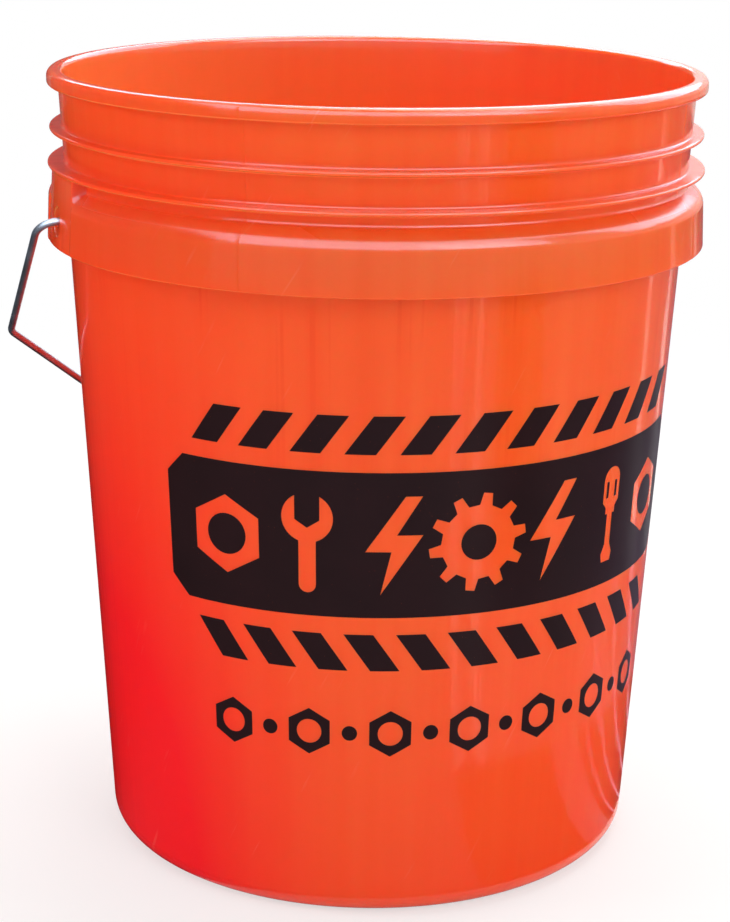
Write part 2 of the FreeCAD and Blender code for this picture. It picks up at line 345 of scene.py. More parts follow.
def pail_grid():
    """Vertices and faces of the closed shell, column by column."""
    count = len(plain_section)
    vertices = [Vector((0, 0, plain_section[0][0].y)), Vector((0, 0, plain_section[-1][0].y))]
    rows = range(1, count - 1)
    for angle in angles:
        shares = {zone: ear_share(angle, zone) for zone in (CAVITY, FACE)}
        shares[COMMON] = 0.0
        turn = Matrix.Rotation(math.radians(angle), 3, "Z")
        for row in rows:
            plain, zone = plain_section[row]
            point = plain.lerp(ear_section[row][0], shares[zone])
            radius = point.x + moulding_marks(angle, point)
            vertices.append(turn @ Vector((radius, 0, point.y)))
    tall = len(rows)
    faces = []
    for i in range(len(angles)):
        here = 2 + i * tall
        there = 2 + (i + 1) % len(angles) * tall
        faces.append((0, there, here))
        faces.append((1, here + tall - 1, there + tall - 1))
        faces += [(here + k, there + k, there + k + 1, here + k + 1) for k in range(tall - 1)]
    return vertices, faces


shell_vertices, shell_faces = pail_grid()
print("faces in the pail's grid:", len(shell_faces))

# %% Make the shell
SHARP = math.radians(40)  # faces that meet at more than this keep a crisp edge


def mesh_piece(name, vertices, faces):
    """A new object from vertices in millimetres, smooth except where faces meet sharply."""
    mesh = bpy.data.meshes.new(name)
    mesh.from_pydata([v * MM for v in vertices], [], faces)
    made = bmesh.new()
    made.from_mesh(mesh)
    bmesh.ops.recalc_face_normals(made, faces=made.faces)
    made.to_mesh(mesh)
    made.free()
    mesh.shade_smooth()
    mesh.set_sharp_from_angle(angle=SHARP)
    piece = bpy.data.objects.new(name, mesh)
    bpy.context.scene.collection.objects.link(piece)
    return piece


pail_shell = mesh_piece("pail_shell", shell_vertices, shell_faces)
print("pail shell:", len(pail_shell.data.vertices), "vertices")

# %% [markdown]
# ## Holes for the wire
# Each ear has a shallow round dish with the wire's hole in its middle. A moulded hole has a
# soft lip, so the cutter isn't a plain cylinder: it is turned from a section whose curves give
# the dish and the lip their rounds, and it leans with the ear's face. One boolean cuts both
# holes, and the grid is fine there, so the new faces stay small and shade cleanly.

# %% The cutters
DISH_RADIUS = 6.5
DISH_DEPTH = 0.7
HOLE_RADIUS = WIRE_RADIUS + WIRE_CLEARANCE


def turned(section, steps, axis="Z", closed=True):
    """Vertices and faces of a section of (radius, height) points, turned about its axis."""
    count = len(section)
    vertices, faces = [], []
    to_axis = Matrix.Rotation(math.radians(90), 3, "Y") if axis == "X" else Matrix.Identity(3)
    for i in range(steps):
        turn = to_axis @ Matrix.Rotation(2 * math.pi * i / steps, 3, "Z")
        vertices += [turn @ Vector((p[0], 0, p[1])) for p in section]
        here, there = i * count, (i + 1) % steps * count
        last = count if closed else count - 1
        for k in range(last):
            onward = (k + 1) % count
            faces.append((here + k, there + k, there + onward, here + onward))
    if not closed:
        faces += [tuple(i * count + end for i in range(steps)) for end in (0, count - 1)]
    return vertices, faces


def hole_cutter():
    """Both cutters in one, each turned about X from a section measured from the ear's face."""
    face = ear_radius(EAR_AXIS)
    face_lean = ear_radius(EAR_AXIS + 1) - face
    section = [p for p, _ in section_points([
        corner(HOLE_RADIUS, -2 * EAR_WALL),
        corner(HOLE_RADIUS, -DISH_DEPTH, 0.5, 5, 2),
        corner(DISH_RADIUS, -DISH_DEPTH, 0.5, 5, 2),
        corner(DISH_RADIUS + 0.15, 0, 0.35, 5),
        # the last two are outside the ear, where nothing is cut
        corner(DISH_RADIUS + 4, 0.8),
        corner(DISH_RADIUS + 4, 3 * EAR_WALL),
    ])]
    vertices, faces = turned(section, 48, "X", closed=False)
    vertices = [v + Vector((face + face_lean * v.z, 0, EAR_AXIS)) for v in vertices]
    turned_round = [Matrix.Rotation(math.pi, 3, "Z") @ v for v in vertices]
    count = len(vertices)
    return vertices + turned_round, faces + [tuple(i + count for i in face) for face in faces]


cutter = mesh_piece("hole_cutter", *hole_cutter())
print("each hole is", round(2 * HOLE_RADIUS, 2), "mm wide in a dish of", round(2 * DISH_RADIUS), "mm")

# %% Cut the ears
SLIVER = 0.001  # millimetres: points that the cut leaves closer than this become one
cut = pail_shell.modifiers.new("wire holes", "BOOLEAN")
cut.operation = "DIFFERENCE"
cut.solver = "EXACT"
cut.object = cutter
scene_now = bpy.context.evaluated_depsgraph_get()
pail_shell.data = bpy.data.meshes.new_from_object(pail_shell.evaluated_get(scene_now))
pail_shell.modifiers.clear()
bpy.data.objects.remove(cutter)
shell = bmesh.new()
shell.from_mesh(pail_shell.data)
bmesh.ops.remove_doubles(shell, verts=shell.verts, dist=SLIVER * MM)
shell.to_mesh(pail_shell.data)
shell.free()
pail_shell.data.shade_smooth()
pail_shell.data.set_sharp_from_angle(angle=SHARP)
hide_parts("pail")
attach(pail_shell, "pail")
print("pail shell after the cut:", len(pail_shell.data.vertices), "vertices")

# %% [markdown]
# ## Gussets under the skirt
# The skirt is too thin to hold its shape alone, so thin radial plates tie it to the wall. They
# only show from below. They could be cut into the shell's grid, but a plate is a simple closed
# piece that ends inside both walls, so a loop places copies of one outline, with none where an
# ear is.

# %% Gussets
GUSSET_THICKNESS = 1.6
GUSSET_RISE = 1.5  # from the skirt's edge up to a plate's
INTO_ROOF, INTO_WALL, INTO_SKIRT = 0.6, 0.8, 0.7  # how far a plate runs into each
EAR_MARGIN = 3.0


def gusset_plates():
    """Closed plates with their lower edge rounded, from inside the wall to inside the skirt."""
    low, high = SKIRT_BOTTOM + GUSSET_RISE, SKIRT_CORNER - SKIRT_WALL + INTO_ROOF
    half = GUSSET_THICKNESS / 2
    turns = [math.radians(a) for a in range(0, 181, 30)]
    edge = [(half * math.cos(a), -half * math.sin(a)) for a in turns]
    outline = [(half, high - low)] + edge + [(-half, high - low)]
    vertices, faces = [], []
    for k in range(GUSSETS):
        angle = GUSSET_FIRST + 360 * k / GUSSETS
        if abs(math.sin(math.radians(angle))) * RIM_RADIUS < EAR_HALF_WIDTH + EAR_MARGIN:
            continue
        turn = Matrix.Rotation(math.radians(angle), 3, "Z")
        start = len(vertices)
        for across, up in outline:
            height = low + half + up if up < 0 else low + up
            inner = wall_radius(height) - INTO_WALL
            outer = skirt_radius(height) - SKIRT_WALL + INTO_SKIRT
            vertices += [turn @ Vector((radius, across, height)) for radius in (inner, outer)]
        count = len(outline)
        for i in range(count):
            here, there = start + 2 * i, start + 2 * ((i + 1) % count)
            faces.append((here, there, there + 1, here + 1))
        faces += [tuple(start + 2 * i + side for i in range(count)) for side in (0, 1)]
    return vertices, faces


gussets = mesh_piece("skirt_gussets", *gusset_plates())
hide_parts("pail")
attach(gussets, "pail")
print("gusset faces:", len(gussets.data.polygons))

# %% [markdown]
# ## The bail
# The bail is one length of 3.4 mm wire, bent cold round pins: a hook behind each ear, a short
# stub out through the hole, a leg, a slanting run, and the straight that carries the grip. A
# subdivided box-model would wander off the true line, so the line is worked out from its
# corners with a true arc at each bend, and a round section is swept along it. The corners lie
# in the plane that the hanging bail makes with the pail, read from where the CAD grip is.

# %% Where the bail hangs
grip_corner_low, grip_corner_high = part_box("hand_grip")
grip_centre = (grip_corner_low + grip_corner_high) / 2 / MM
GRIP_HALF_LENGTH = (grip_corner_high.x - grip_corner_low.x) / 2 / MM
BAIL_REACH = math.hypot(grip_centre.y, EAR_AXIS - grip_centre.z)
REST_ANGLE = math.atan2(grip_centre.y, EAR_AXIS - grip_centre.z)
hanging = round(math.degrees(REST_ANGLE), 2)
print("bail reach", round(BAIL_REACH, 2), "mm, hanging at", hanging, "degrees")


def on_bail(offset, reach):
    """A point in the bail's plane, from its offset along X and its reach from the ears' axis."""
    return Vector((offset, reach * math.sin(REST_ANGLE), EAR_AXIS - reach * math.cos(REST_ANGLE)))


# %% The wire's line
EAR_FACE = ear_radius(EAR_AXIS)
HOOK_OFFSET = (wall_radius(EAR_AXIS) + EAR_FACE - EAR_WALL) / 2
HOOK_LENGTH = 7.0
LEG_OFFSET = EAR_FACE + 8.4
LEG_LENGTH = 85.3
LEG_SPLAY = 2.6
HALF_BAIL = [  # offset, reach, bend radius
    (HOOK_OFFSET, -HOOK_LENGTH, 0),
    (HOOK_OFFSET, 0, 3.0),
    (LEG_OFFSET, 0, 9.5),
    (LEG_OFFSET + LEG_SPLAY, LEG_LENGTH, 7.5),
    (GRIP_HALF_LENGTH + 8.4, BAIL_REACH, 12.0),
]
RUN_STEP = 12.0  # between points on a straight run


def bent_line(corners, steps_per_bend=14):
    """Points along an open line with a true arc at each corner, and closer points on long runs."""
    line = [corners[0][0]]
    for (before, _), (at, bend), (after, _) in zip(corners, corners[1:], corners[2:]):
        back, onward = (before - at).normalized(), (after - at).normalized()
        half = back.angle(onward) / 2
        start = at + back * (bend / math.tan(half))
        centre = at + (back + onward).normalized() * (bend / math.sin(half))
        axis = onward.cross(back)
        turn = math.pi - 2 * half
        run = start - line[-1]
        pieces = max(1, round(run.length / RUN_STEP))
        line += [line[-1] + run * (k / pieces) for k in range(1, pieces)]
        for k in range(steps_per_bend + 1):
            line.append(centre + Matrix.Rotation(turn * k / steps_per_bend, 3, axis) @ (start - centre))
    line.append(corners[-1][0])
    return line


bail_corners = [(on_bail(offset, reach), bend) for offset, reach, bend in HALF_BAIL]
bail_corners += [(on_bail(-offset, reach), bend) for offset, reach, bend in reversed(HALF_BAIL)]
bail_line = bent_line(bail_corners)
length = sum((b - a).length for a, b in zip(bail_line, bail_line[1:]))
print("wire cut length:", round(length), "mm")

# %% Sweep the wire along it
END_INSET = 0.02
END_ROUND = 0.5


def swept(line, radius, sides=20):
    """A round bar along a line that lies in the bail's plane, with softly rounded cut ends."""
    across = Vector((0, math.cos(REST_ANGLE), math.sin(REST_ANGLE)))  # normal to the bail's plane
    first, last = (line[1] - line[0]).normalized(), (line[-1] - line[-2]).normalized()
    small = radius - END_ROUND
    rings = [(line[0] + first * END_INSET, small), (line[0] + first * END_ROUND, radius)]
    rings += [(point, radius) for point in line[1:-1]]
    rings += [(line[-1] - last * END_ROUND, radius), (line[-1] - last * END_INSET, small)]
    vertices, faces = [], []
    for i, (point, size) in enumerate(rings):
        before, after = rings[max(i - 1, 0)][0], rings[min(i + 1, len(rings) - 1)][0]
        along = (after - before).normalized()
        inward = along.cross(across).normalized()
        for k in range(sides):
            a = 2 * math.pi * k / sides
            vertices.append(point + size * (math.cos(a) * across + math.sin(a) * inward))
    for i in range(len(rings) - 1):
        here, there = i * sides, (i + 1) * sides
        for k in range(sides):
            onward = (k + 1) % sides
            faces.append((here + k, here + onward, there + onward, there + k))
    faces += [tuple(range(sides)), tuple(range(len(vertices) - sides, len(vertices)))]
    return vertices, faces


bail_wire = mesh_piece("bail_wire", *swept(bail_line, WIRE_RADIUS))
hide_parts("bail")
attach(bail_wire, "bail")
print("rings of points along the wire:", len(bail_line) + 2)

# %% [markdown]
# ## The grip
# The grip is a black polyethylene tube with a thinner hub inside it on four webs, cored from
# both ends so that the plastic cools evenly. The wire turns in the hub. A bevelled cylinder
# would be quicker, but it has no hollow ends, so two tubes are turned from rounded sections
# like the pail's, and the mould's parting line is raised along both sides of the outer one.
# Each web is a plain plate that ends inside both tubes.

# %% Build the grip
PARTING_HEIGHT = 0.1
GRIP_RADIUS = (grip_corner_high.z - grip_corner_low.z) / 2 / MM - PARTING_HEIGHT
GRIP_WALL = 2.0
HUB_RADIUS = HOLE_RADIUS + 1.8
WEB_THICKNESS = 1.8
WEB_SETBACK = 3.0


def tube_section(outer, inner, half_length, outer_easing, inner_easing, rows):
    """A closed section for a tube with rounded ends."""
    corners = [
        corner(outer, -half_length, outer_easing, 6, rows),
        corner(outer, half_length, outer_easing, 6),
        corner(inner, half_length, inner_easing, 4, rows),
        corner(inner, -half_length, inner_easing, 4),
    ]
    return [p for p, _ in section_points(corners)]


def grip_shape():
    """The tube, the hub and the cross of webs, placed on the bail."""
    tube_vertices, tube_faces = turned(
        tube_section(GRIP_RADIUS, GRIP_RADIUS - GRIP_WALL, GRIP_HALF_LENGTH, 1.4, 0.5, 5), 96, "X"
    )
    for v in tube_vertices:
        around = math.degrees(math.atan2(v.z, v.y)) % 180
        if math.hypot(v.y, v.z) > GRIP_RADIUS - 0.2 and min(around, 180 - around) < 1:
            v.yz *= 1 + PARTING_HEIGHT / GRIP_RADIUS
    hub_half = GRIP_HALF_LENGTH - WEB_SETBACK
    hub = turned(tube_section(HUB_RADIUS, HOLE_RADIUS, hub_half, 0.4, 0.4, 2), 40, "X")
    shapes = [(tube_vertices, tube_faces), hub]
    inner, outer, half = HUB_RADIUS - 0.5, GRIP_RADIUS - GRIP_WALL / 2, WEB_THICKNESS / 2
    for k in range(4):
        turn = Matrix.Rotation(math.radians(90 * k), 3, "X")
        outline = [(-half, inner), (half, inner), (half, outer), (-half, outer)]
        web = [turn @ Vector((x, y, z)) for x in (-hub_half, hub_half) for y, z in outline]
        sides = [(i, (i + 1) % 4, (i + 1) % 4 + 4, i + 4) for i in range(4)]
        shapes.append((web, sides + [(0, 1, 2, 3), (4, 5, 6, 7)]))
    vertices, faces = [], []
    for some_vertices, some_faces in shapes:
        start = len(vertices)
        vertices += [v + grip_centre for v in some_vertices]
        faces += [tuple(i + start for i in face) for face in some_faces]
    return vertices, faces


hand_grip = mesh_piece("grip_tube", *grip_shape())
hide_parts("hand_grip")
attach(hand_grip, "hand_grip")
print("grip", round(2 * GRIP_HALF_LENGTH), "mm long and", round(2 * GRIP_RADIUS), "mm across")

# %% [markdown]
# ## The print
# Pails like this are screen-printed after moulding: a squeegee lays one flat ink film on the
# curved front. Painting the pattern with a mask in the pail's material would blur at a slant,
# so each area of ink is a thin closed film of its own. It is drawn flat as outlines with
# holes, filled, cut into narrow upright strips so that it can bend, thickened, and wrapped
# onto the cone. The pattern is a plain workshop one: two bands of hazard bars, and between
# them a panel with bare-plastic shapes of a nut, a spanner, a spark, a gear and a screwdriver.
# Under them runs a row of nuts and studs.

# %% Flat outlines
PRINT_MIDDLE = 165.0
PRINT_RADIUS = wall_radius(PRINT_MIDDLE)  # here a millimetre of the flat drawing is one round the pail


def arc_points(x, y, radius, start, end, steps):
    """Points on an arc between two angles in degrees."""
    angles = [math.radians(start + (end - start) * k / steps) for k in range(steps + 1)]
    return [(x + radius * math.cos(a), y + radius * math.sin(a)) for a in angles]


def polygon(x, y, radius, sides, first=0):
    """The corners of a regular polygon, or a circle when it has many sides."""
    return arc_points(x, y, radius, first, first + 360, sides)[:-1]


def leaning_bar(x, low, high, width, lean):
    """A hazard bar: a parallelogram that leans to the right as it rises."""
    return [(x, low), (x + width, low), (x + width + lean, high), (x + lean, high)]


def nut_shape(x, y, size):
    """A hexagon with a round hole."""
    return [polygon(x, y, size, 6, 30), polygon(x, y, size * 0.52, 40)]


def gear_shape(x, y, size, teeth=10):
    """A toothed ring: each tooth is four points on two circles."""
    outline = []
    for k in range(teeth):
        for share, radius in ((0.0, 0.76), (0.12, 1.0), (0.42, 1.0), (0.54, 0.76)):
            angle = 2 * math.pi * (k + share) / teeth
            outline.append((x + size * radius * math.cos(angle), y + size * radius * math.sin(angle)))
    return [outline, polygon(x, y, size * 0.36, 36)]


print("points in a gear:", sum(len(outline) for outline in gear_shape(0, 0, 1)))

# %% Outlines of a spark and two tools


def spark_shape(x, y, size):
    """A bolt of lightning."""
    left = ((0.20, 1.0), (-0.55, -0.12), (-0.05, -0.12), (-0.25, -1.0))
    right = ((0.55, 0.22), (0.05, 0.22), (0.52, 1.0))
    return [[(x + size * px, y + size * py) for px, py in left + right]]


def spanner_shape(x, y, size):
    """An open-ended spanner, upright: a jaw with a square mouth, and a round-ended handle."""
    jaw, mouth, handle = 0.50 * size, 0.24 * size, 0.17 * size
    jaw_y = y + 0.52 * size
    open_angle = math.degrees(math.acos(mouth / jaw))
    neck_angle = math.degrees(math.acos(handle / jaw))
    right = arc_points(x, jaw_y, jaw, open_angle, -neck_angle, 16)
    end = arc_points(x, y - size + handle, handle, 0, -180, 10)
    left = arc_points(x, jaw_y, jaw, 180 + neck_angle, 180 - open_angle, 16)
    throat = [(x - mouth, jaw_y - 0.04 * size), (x, jaw_y - 0.2 * size), (x + mouth, jaw_y - 0.04 * size)]
    return [right + end + left + throat]


def screwdriver_shape(x, y, size):
    """A screwdriver on its tip: a fluted handle, a collar, and a blade that flares to its tip."""
    half, collar, shaft, tip = 0.27 * size, 0.16 * size, 0.09 * size, 0.19 * size
    top, waist = y + size, y + 0.16 * size
    dome = arc_points(x, top - half, half, 0, 180, 14)
    right = [(tip * 0.8, y - size), (tip, y - 0.82 * size), (shaft, y - 0.62 * size)]
    right += [(shaft, y + 0.02 * size), (collar, y + 0.02 * size), (collar, waist)]
    right += [(half, waist + 0.12 * size)]
    left = [(x - across, up) for across, up in reversed(right)]
    body = [(x + across, up) for across, up in right] + dome + left
    low, high, width = waist + 0.2 * size, top - 0.3 * size, 0.035 * size
    flutes = []
    for middle in (x - half / 2, x + half / 2):
        near, far = middle - width, middle + width
        flutes.append([(near, low), (far, low), (far, high), (near, high)])
    return [body] + flutes


for tool in (spark_shape, spanner_shape, screwdriver_shape):
    print("points in a", tool.__name__, sum(len(outline) for outline in tool(0, 0, 1)))

# %% Lay out the pattern
PRINT_HALF_WIDTH = 142.0
PANEL_MARGIN = 12.0
BAR_LEAN = 0.7  # sideways for each millimetre up
SHAPE_SHARE = 0.34  # a tall shape's half height against the panel's height
NUT_SHARE = 0.8  # a nut's size against a tall shape's
STUD_SHARE = 0.32  # a stud's radius against a nut's


def hazard_band(low, high, width, gap, direction):
    """A band of leaning bars with square ends."""
    pitch = width + gap
    lean = (high - low) * BAR_LEAN
    count = int((2 * PRINT_HALF_WIDTH - lean) // pitch)
    left = -(count * pitch - gap + lean) / 2
    bars = [leaning_bar(left + k * pitch, low, high, width, lean) for k in range(count)]
    return bars if direction > 0 else [[(-x, y) for x, y in bar] for bar in bars]


def tool_panel(low, high, cut):
    """The black panel with cut corners, and the shapes left bare in it."""
    half = PRINT_HALF_WIDTH
    middle, size = (low + high) / 2, (high - low) * SHAPE_SHARE
    outline = [(-half + cut, low), (half - cut, low), (half, low + cut), (half, high - cut)]
    outline += [(half - cut, high), (-half + cut, high), (-half, high - cut), (-half, low + cut)]
    shapes = [nut_shape, spanner_shape, spark_shape, gear_shape, spark_shape, screwdriver_shape, nut_shape]
    pitch = 2 * (half - PANEL_MARGIN) / len(shapes)
    outlines = [outline]
    for k, shape in enumerate(shapes):
        shape_size = size * (NUT_SHARE if shape is nut_shape else 1)
        outlines += shape((k - (len(shapes) - 1) / 2) * pitch, middle, shape_size)
    return outlines


def nut_row(middle, size, pitch, count):
    """Nuts, with a stud between each two."""
    outlines = []
    for k in range(count):
        x = (k - (count - 1) / 2) * pitch
        outlines += nut_shape(x, middle, size)
        if k < count - 1:
            outlines.append(polygon(x + pitch / 2, middle, size * STUD_SHARE, 24))
    return outlines


print("the print reaches", round(math.degrees(PRINT_HALF_WIDTH / PRINT_RADIUS)), "degrees each way")

# %% Fill, bend and wrap the ink
INK_THICKNESS = 0.06
STRIP_WIDTH = 3.0
INK_SHARP = math.radians(30)


def ink_film(name, outlines):
    """A thin closed film on the pail's front, from flat outlines: one inside another is a hole."""
    drawing = bpy.data.curves.new(name, "CURVE")
    drawing.dimensions = "2D"
    drawing.fill_mode = "BOTH"
    for outline in outlines:
        spline = drawing.splines.new("POLY")
        spline.points.add(len(outline) - 1)
        for point, (x, y) in zip(spline.points, outline):
            point.co = (x, y, 0, 1)
        spline.use_cyclic_u = True
    flat = bpy.data.objects.new(name, drawing)
    mesh = bpy.data.meshes.new_from_object(flat)
    bpy.data.objects.remove(flat)
    film = bmesh.new()
    film.from_mesh(mesh)
    bmesh.ops.remove_doubles(film, verts=film.verts, dist=SLIVER)
    low, high = min(v.co.x for v in film.verts), max(v.co.x for v in film.verts)
    for k in range(math.ceil(low / STRIP_WIDTH), math.floor(high / STRIP_WIDTH) + 1):
        everything = film.verts[:] + film.edges[:] + film.faces[:]
        cut_at = (k * STRIP_WIDTH, 0, 0)
        bmesh.ops.bisect_plane(film, geom=everything, plane_co=cut_at, plane_no=(1, 0, 0), dist=1e-4)
    bmesh.ops.solidify(film, geom=film.faces[:], thickness=2 * INK_THICKNESS)
    middle = (max(v.co.z for v in film.verts) + min(v.co.z for v in film.verts)) / 2
    for v in film.verts:
        x, height, lift = v.co
        angle = x / PRINT_RADIUS
        radius = wall_radius(height) + INK_THICKNESS * (1 if lift > middle else -1)
        v.co = Vector((radius * math.sin(angle), -radius * math.cos(angle), height)) * MM
    bmesh.ops.recalc_face_normals(film, faces=film.faces[:])
    film.to_mesh(mesh)
    film.free()
    mesh.shade_smooth()
    mesh.set_sharp_from_angle(angle=INK_SHARP)
    piece = bpy.data.objects.new(name, mesh)
    bpy.context.scene.collection.objects.link(piece)
    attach(piece, "pail")
    return piece


ink_films = [
    ink_film("print_upper_band", hazard_band(low=220.0, high=237.0, width=13.0, gap=10.0, direction=1)),
    ink_film("print_tool_panel", tool_panel(low=146.0, high=212.0, cut=9.0)),
    ink_film("print_lower_band", hazard_band(low=121.0, high=138.0, width=13.0, gap=10.0, direction=-1)),
    ink_film("print_nut_row", nut_row(middle=91.0, size=11.0, pitch=37.0, count=7)),
]
print("ink films:", len(ink_films), "with", sum(len(f.data.polygons) for f in ink_films), "faces")

# %% [markdown]
# ## Materials
# Every finish is made from nodes, with patterns placed by the object's own coordinates in
# metres, so nothing slides when the camera or the pail moves. Painted maps would need an
# unwrapped pail, and the marks of moulding run straight up it or round it, which a node
# pattern does well. One function turns a colour as a designer writes it into the linear light
# that Blender mixes, and one adds a node with its settings and links.

# %% Colour and node helpers
TIMES = {"operation": "MULTIPLY"}
PLUS = {"operation": "ADD"}
BELOW = {"operation": "LESS_THAN"}
DOT = {"operation": "DOT_PRODUCT"}
BLEND = {"data_type": "RGBA"}  # a Mix of two colours: its share is in0, and they are in6 and in7
BLENDED = 2  # the output that gives the mixed colour


def colour(code):
    """A linear RGBA colour from an sRGB hex code."""
    channels = [int(code[i : i + 2], 16) / 255 for i in (1, 3, 5)]
    return (*[c / 12.92 if c < 0.04045 else ((c + 0.055) / 1.055) ** 2.4 for c in channels], 1.0)


def add(tree, kind, settings=None, out=0, **links):
    """Adds a node and returns one of its outputs, or the node itself where out is None.

    Settings name its properties. Links name its inputs, with _ for a space, or in0, in1 by number.
    """
    node = tree.nodes.new("ShaderNode" + kind)
    for name, value in (settings or {}).items():
        setattr(node, name, value)
    for name, value in links.items():
        key = int(name[2:]) if name[:2] == "in" and name[2:].isdigit() else name.replace("_", " ")
        if isinstance(value, bpy.types.NodeSocket):
            tree.links.new(value, node.inputs[key])
        else:
            node.inputs[key].default_value = value
    return node.outputs[out] if out is not None and node.outputs else node


def per_metre(millimetres):
    """A pattern's scale in metres, from the size of its marks in millimetres."""
    return 1000 / millimetres


def new_material(name):
    """A material with an empty node tree."""
    material = bpy.data.materials.new(name)
    material.use_nodes = True
    material.node_tree.nodes.clear()
    return material, material.node_tree


def dress(material, pieces):
    """Gives the pieces this material and no other."""
    for piece in pieces:
        piece.data.materials.clear()
        piece.data.materials.append(material)
    print(material.name, "on", ", ".join(piece.name for piece in pieces))


print("orange as written and as light:", "#F15A29", [round(c, 3) for c in colour("#F15A29")[:3]])

# %% [markdown]
# ## Orange polyethylene
# High-density polyethylene is waxy and slightly see-through. Light goes a few millimetres in
# and comes out redder, because the pigment takes the yellow first, so its shaded side glows
# red where paint would go brown. That is subsurface scattering, with a long reach for red and
# a short one for green and blue. Its patterns are drawn on the wall unrolled flat, so streaks
# run straight up and nothing is stretched.

# %% Where a point is on the pail
pail_plastic, tree = new_material("moulded_orange_polyethylene")
place = add(tree, "TexCoord", out="Object")
xyz = add(tree, "SeparateXYZ", out=None, Vector=place).outputs
to_front = add(tree, "Math", TIMES, in0=xyz["Y"], in1=-1.0)
around = add(tree, "Math", {"operation": "ARCTAN2"}, in0=xyz["X"], in1=to_front)
arc = add(tree, "Math", TIMES, in0=around, in1=wall_radius(HEIGHT / 2) * MM)
unrolled = add(tree, "CombineXYZ", X=arc, Y=0.0, Z=xyz["Z"])
print("the pattern's seam is at the back, and one unit is one metre round the pail and up it")

# %% [markdown]
# ## Clouds, streaks and dark lines
# The melt enters at the gate in the floor and flows up to the rim. It leaves clouds where the
# pigment is uneven, and streaks about a finger wide. The pale colour of the streaks is also a
# painted reflection of soft upright bands of room light. Just under the skirt, a few groups of
# dark hair lines are painted reflection too. An image of them would repeat or show a seam, so
# each is one noise, stretched upwards as far as the real mark is long.

# %% Clouds, and streaks that are partly painted reflection
CLOUD_MM = 120.0
STREAK_MM = 11.0
STREAK_SHEEN_SHARE = 0.6
STREAK_SQUEEZE = 0.03  # of the noise upwards, so a streak is about thirty times as long as wide
upright = add(tree, "Mapping", Vector=unrolled, Scale=(1.0, 1.0, STREAK_SQUEEZE))
streaks = add(tree, "TexNoise", Vector=upright, Scale=per_metre(STREAK_MM), Detail=3.0, Roughness=0.5)
clouds = add(tree, "TexNoise", Vector=place, Scale=per_metre(CLOUD_MM), Detail=2.0, Roughness=0.5)
streak_share = add(tree, "MapRange", in0=streaks, in1=0.3, in2=0.7)
cloud_share = add(tree, "MapRange", in0=clouds, in1=0.35, in2=0.65)
resin = add(tree, "Mix", BLEND, BLENDED, in0=cloud_share, in6=colour("#EF6829"), in7=colour("#EE5F26"))
# The pale streaks are partly painted reflection: lighter upright bands that stand for the room's light in
# the gloss.
streak_sheen = add(tree, "Math", TIMES, in0=streak_share, in1=STREAK_SHEEN_SHARE)
streaked_with_sheen = add(tree, "Mix", BLEND, BLENDED, in0=streak_sheen, in6=resin, in7=colour("#F27033"))
print("clouds", CLOUD_MM, "mm across, flow streaks", STREAK_MM, "mm apart")

# %% Fine dark lines, a painted reflection
LINE_MM = 3.2
GROUP_MM = 60.0
LINE_LENGTH = 90.0  # millimetres below the skirt over which the lines fade
DARK_REFLECTION_SHARE = 0.4
LINE_SQUEEZE = 0.008
drawn_out = add(tree, "Mapping", Vector=unrolled, Scale=(1.0, 1.0, LINE_SQUEEZE))
line_noise = add(tree, "TexNoise", Vector=drawn_out, Scale=per_metre(LINE_MM), Detail=1.0, Roughness=0.4)
group_noise = add(tree, "TexNoise", Vector=unrolled, Scale=per_metre(GROUP_MM), Detail=0.0)
dark_reflection_share = add(tree, "MapRange", in0=line_noise, in1=0.62, in2=0.68)
in_group = add(tree, "MapRange", in0=group_noise, in1=0.45, in2=0.6)
fade_start, fade_end = (SKIRT_BOTTOM - LINE_LENGTH) * MM, SKIRT_BOTTOM * MM
near_skirt = add(tree, "MapRange", in0=xyz["Z"], in1=fade_start, in2=fade_end, in4=DARK_REFLECTION_SHARE)
under_skirt = add(tree, "Math", BELOW, in0=xyz["Z"], in1=fade_end)
for limit in (in_group, near_skirt, under_skirt):
    dark_reflection_share = add(tree, "Math", TIMES, in0=dark_reflection_share, in1=limit)
# Painted reflection: the dark lines stand for dark upright streaks of reflection just under the skirt.
lined_with_dark_reflection = add(tree, "Mix", BLEND, BLENDED, in0=dark_reflection_share, in6=streaked_with_sheen, in7=colour("#DE4218"))
print("flow lines", LINE_MM, "mm apart, in groups", GROUP_MM, "mm wide")

# %% [markdown]
# ## Painted shade and light by place
# The lower left of this pail is almost red. That is shade, painted into its colour, from the side
# turned away from the key lamp and from low down. Inside it, the left wall is paler, which is
# painted light, and the right wall is rosier, which is painted shade. Coloured lamps would tint
# the wire and the floor as well, so a soft share by place mixes a redder, a paler and a rosier
# resin into the colour.

# %% The redder side: painted shade outside, painted light and shade inside
# Painted shade: the outside is painted redder towards this side, which is turned from the key lamp.
SHADED_OUTER_SIDE = (-6.9, 1.2, 0.0)  # towards the left and a little back, about one over the pail's radius
LOW_PAINTED_SHADE = 0.42
red_way = add(tree, "VectorMath", DOT, "Value", in0=place, in1=SHADED_OUTER_SIDE)
leftness = add(tree, "MapRange", {"interpolation_type": "SMOOTHSTEP"}, in0=red_way, in1=0.18, in2=1.0)
